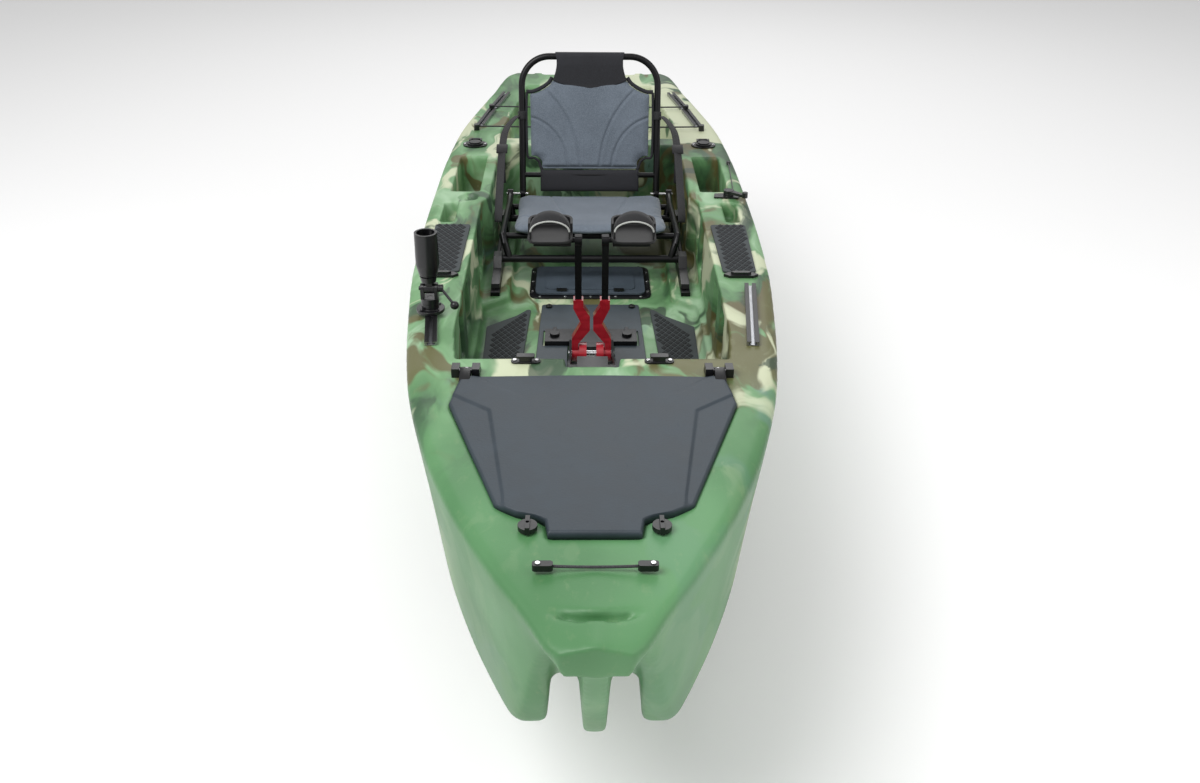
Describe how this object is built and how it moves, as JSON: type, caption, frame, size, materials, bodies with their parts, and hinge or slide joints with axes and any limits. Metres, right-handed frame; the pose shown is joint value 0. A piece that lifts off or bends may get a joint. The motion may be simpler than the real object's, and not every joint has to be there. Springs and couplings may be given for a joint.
{
  "type": "pedal boat",
  "caption": "Sit-on-top pedal boat with a swinging-fin drive, sliding frame seat, hatches, gear tracks, rod holders and a lifting rudder.",
  "frame": {"origin": "on the flat underside of the centre keel, half-way along the hull", "axes": "bow -Y, stern +Y, port +X, up +Z"},
  "size_m": [0.93, 3.457, 1.0963],
  "materials": {
    "hull_moulding": "satin",
    "hatch_plastic": "satin",
    "grey_plastic": "satin",
    "black_plastic": "satin",
    "seal_rubber": "matte",
    "elastic_cord": "matte",
    "deck_foam": "matte",
    "fin_rubber": "satin",
    "stainless_steel": "satin",
    "track_aluminium": "satin",
    "black_aluminium": "satin",
    "red_nylon": "satin",
    "seat_fabric": "matte",
    "band_fabric": "matte",
    "webbing": "matte",
    "rudder_cord": "matte"
  },
  "bodies": {
    "hull": {"hull": "hull_moulding", "hatch_gaskets": "seal_rubber", "bow_hinge_pins": "stainless_steel", "bow_hinge_blocks": "black_plastic", "bungees": "elastic_cord", "bungee_ends": "black_plastic", "cleats": "black_plastic", "fitting_screws": "stainless_steel", "foam_pads": "deck_foam", "gear_tracks": "track_aluminium", "floor_insert": "grey_plastic", "floor_knobs": "black_plastic", "floor_hatch_frame": "black_plastic", "drain_plugs": "black_plastic", "drive_housing": "black_plastic", "drive_rods": "stainless_steel", "drive_chains": "stainless_steel", "drive_shafts": "stainless_steel", "seat_rails": "black_aluminium", "rod_holder_base": "black_plastic", "flush_rod_holders": "black_plastic", "rudder_lever_base": "black_plastic", "rudder_lines": "rudder_cord", "rudder_bracket": "black_aluminium"},
    "bow_lid": {"bow_lid": "hatch_plastic"},
    "bow_latch_port": {"bow_latch_port": "black_plastic"},
    "bow_latch_starboard": {"bow_latch_starboard": "black_plastic"},
    "floor_hatch_lid": {"floor_hatch_lid": "grey_plastic"},
    "floor_latch_port": {"floor_latch_port": "black_plastic"},
    "floor_latch_starboard": {"floor_latch_starboard": "black_plastic"},
    "lock_cam_port": {"lock_cam_port": "black_plastic"},
    "lock_cam_starboard": {"lock_cam_starboard": "black_plastic"},
    "crank_port": {"crank_port": "red_nylon", "arm_port": "black_aluminium"},
    "crank_starboard": {"crank_starboard": "red_nylon", "arm_starboard": "black_aluminium"},
    "pedal_port": {"pedal_port": "black_plastic", "pedal_straps_port": "webbing"},
    "pedal_starboard": {"pedal_starboard": "black_plastic", "pedal_straps_starboard": "webbing"},
    "front_fin": {"front_fin_mast": "stainless_steel", "front_fin_blade": "fin_rubber"},
    "rear_fin": {"rear_fin_mast": "stainless_steel", "rear_fin_blade": "fin_rubber"},
    "seat": {"seat_feet": "black_plastic", "seat_frame": "black_aluminium", "seat_cushion": "seat_fabric", "seat_hinge_pins": "stainless_steel", "seat_straps": "webbing"},
    "seat_back": {"back_frame": "black_aluminium", "back_cushion": "seat_fabric", "back_bands": "band_fabric"},
    "rod_holder_swivel": {"rod_holder_swivel": "black_plastic"},
    "rod_holder_cup": {"rod_holder_cup": "black_plastic"},
    "rod_holder_lever": {"rod_holder_lever": "black_plastic"},
    "rod_cap_port": {"rod_cap_port": "black_plastic"},
    "rod_cap_starboard": {"rod_cap_starboard": "black_plastic"},
    "rudder_lever": {"rudder_lever": "black_plastic"},
    "rudder_head": {"rudder_head": "black_plastic"},
    "rudder_blade": {"rudder_blade": "black_plastic"}
  },
  "joints": [
    {"name": "bow_lid_hinge", "type": "hinge", "parent": "hull", "child": "bow_lid", "pos_m": [0, -0.799, 0.374], "axis": [-1, 0, 0], "range_deg": [0, 90]},
    {"name": "bow_latch_port_turn", "type": "hinge", "parent": "hull", "child": "bow_latch_port", "pos_m": [0.11528, -1.348, 0.37], "axis": [0, 0, 1], "range_deg": [0, 90]},
    {"name": "bow_latch_starboard_turn", "type": "hinge", "parent": "hull", "child": "bow_latch_starboard", "pos_m": [-0.11528, -1.348, 0.37], "axis": [0, 0, -1], "range_deg": [0, 90]},
    {"name": "floor_hatch_hinge", "type": "hinge", "parent": "hull", "child": "floor_hatch_lid", "pos_m": [0, 0.263, 0.1491], "axis": [-1, 0, 0], "range_deg": [0, 20]},
    {"name": "floor_latch_port_turn", "type": "hinge", "parent": "floor_hatch_lid", "child": "floor_latch_port", "pos_m": [0.082, 0.087, 0.15], "axis": [0, 0, -1], "range_deg": [0, 90]},
    {"name": "floor_latch_starboard_turn", "type": "hinge", "parent": "floor_hatch_lid", "child": "floor_latch_starboard", "pos_m": [-0.082, 0.087, 0.15], "axis": [0, 0, 1], "range_deg": [0, 90]},
    {"name": "lock_cam_port_turn", "type": "hinge", "parent": "hull", "child": "lock_cam_port", "pos_m": [0.096, -0.201, 0.16], "axis": [0, 0, -1], "range_deg": [0, 90]},
    {"name": "lock_cam_starboard_turn", "type": "hinge", "parent": "hull", "child": "lock_cam_starboard", "pos_m": [-0.096, -0.201, 0.16], "axis": [0, 0, 1], "range_deg": [0, 90]},
    {"name": "pedalling", "type": "hinge", "parent": "hull", "child": "crank_port", "pos_m": [0, -0.42, 0.215], "axis": [1, 0, 0], "range_deg": [-22, 22]},
    {"name": "crank_starboard_swing", "type": "hinge", "parent": "hull", "child": "crank_starboard", "pos_m": [0, -0.42, 0.215], "axis": [1, 0, 0], "range_deg": [-22.5, 22.5]},
    {"name": "front_fin_swing", "type": "hinge", "parent": "hull", "child": "front_fin", "pos_m": [0, -0.588, -0.014], "axis": [0, 1, 0], "range_deg": [-75, 75]},
    {"name": "rear_fin_swing", "type": "hinge", "parent": "hull", "child": "rear_fin", "pos_m": [0, -0.412, -0.014], "axis": [0, 1, 0], "range_deg": [-75, 75]},
    {"name": "pedal_port_tilt", "type": "hinge", "parent": "crank_port", "child": "pedal_port", "pos_m": [0.097, -0.42, 0.515], "axis": [1, 0, 0], "range_deg": [-25, 25]},
    {"name": "pedal_starboard_tilt", "type": "hinge", "parent": "crank_starboard", "child": "pedal_starboard", "pos_m": [-0.097, -0.42, 0.515], "axis": [1, 0, 0], "range_deg": [-25, 25]},
    {"name": "seat_slide", "type": "slide", "parent": "hull", "child": "seat", "axis": [0, 1, 0], "range_m": [-0.02, 0.08]},
    {"name": "seat_back_fold", "type": "hinge", "parent": "seat", "child": "seat_back", "pos_m": [0, 0.6, 0.25896], "axis": [1, 0, 0], "range_deg": [0, 60], "deforming": ["seat_straps"]},
    {"name": "rod_holder_turn", "type": "hinge", "parent": "hull", "child": "rod_holder_swivel", "pos_m": [-0.37699, -0.5, 0.4], "axis": [0, 0, 1], "range_deg": [-170, 170]},
    {"name": "rod_holder_tilt", "type": "hinge", "parent": "rod_holder_swivel", "child": "rod_holder_cup", "pos_m": [-0.37699, -0.5, 0.4275], "axis": [1, 0, 0], "range_deg": [-50, 70]},
    {"name": "rod_holder_lever_turn", "type": "hinge", "parent": "rod_holder_swivel", "child": "rod_holder_lever", "pos_m": [-0.37699, -0.5, 0.4275], "axis": [-1, 0, 0], "range_deg": [0, 60]},
    {"name": "rod_cap_port_hinge", "type": "hinge", "parent": "hull", "child": "rod_cap_port", "pos_m": [0.378, 0.818, 0.369], "axis": [-1, 0, 0], "range_deg": [0, 110]},
    {"name": "rod_cap_starboard_hinge", "type": "hinge", "parent": "hull", "child": "rod_cap_starboard", "pos_m": [-0.378, 0.818, 0.369], "axis": [-1, 0, 0], "range_deg": [0, 110]},
    {"name": "rudder_lever_turn", "type": "hinge", "parent": "hull", "child": "rudder_lever", "pos_m": [0.408, 0.298, 0.373], "axis": [0, 0, 1], "range_deg": [-35, 35]},
    {"name": "rudder_turn", "type": "hinge", "parent": "hull", "child": "rudder_head", "pos_m": [0, 1.685, 0.27], "axis": [0, 0, 1], "range_deg": [-40, 40]},
    {"name": "rudder_lift", "type": "hinge", "parent": "rudder_head", "child": "rudder_blade", "pos_m": [0, 1.715, 0.268], "axis": [1, 0, 0], "range_deg": [0, 120]}
  ],
  "couplings": [
    {"joint": "crank_starboard_swing", "follows": "pedalling", "ratio": -1},
    {"joint": "front_fin_swing", "follows": "pedalling", "ratio": 3.4},
    {"joint": "rear_fin_swing", "follows": "pedalling", "ratio": -3.4},
    {"joint": "rudder_turn", "follows": "rudder_lever_turn", "ratio": 1.1}
  ]
}
